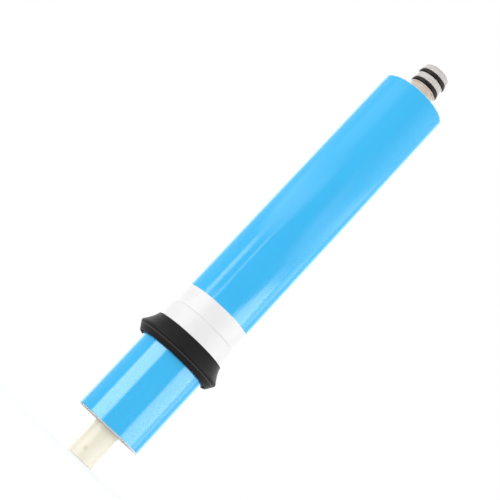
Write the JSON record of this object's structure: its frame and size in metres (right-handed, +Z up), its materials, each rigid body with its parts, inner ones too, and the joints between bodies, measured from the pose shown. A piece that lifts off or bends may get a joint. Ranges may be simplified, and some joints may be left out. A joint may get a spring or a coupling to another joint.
{
  "type": "reverse osmosis membrane element",
  "caption": "Spiral-wound water filter cartridge: film-wrapped roll on a tube, with a cup seal, white tape and an outlet stub with O-rings.",
  "frame": {"origin": "middle of the flat foot of the closed tail, on which the element stands", "axes": "+Z up along the permeate tube to the outlet nose with the O-rings; -Y towards the gate mark on the tail; +X completes the frame"},
  "size_m": [0.0538, 0.0538, 0.298],
  "materials": {
    "tube_plastic": "smooth moulded plastic, soft sheen",
    "ring_rubber": "smooth, slightly greased",
    "clear_tape": "double-sided tape",
    "tricot": "stiff fine knit",
    "membrane": "smooth coated sheet",
    "feed_net": "extruded diamond net",
    "blue_film": "glossy stretched film",
    "seal_rubber": "matt moulded rubber",
    "white_tape": "smooth vinyl tape"
  },
  "bodies": {
    "root": {"permeate_tube": "tube_plastic", "o_ring_shank": "ring_rubber", "o_ring_nose": "ring_rubber", "core_tape": "clear_tape", "permeate_carrier": "tricot", "membrane_leaf": "membrane", "feed_spacer": "feed_net", "outer_wrap": "blue_film", "brine_seal": "seal_rubber", "seal_tape": "white_tape"}
  },
  "joints": []
}
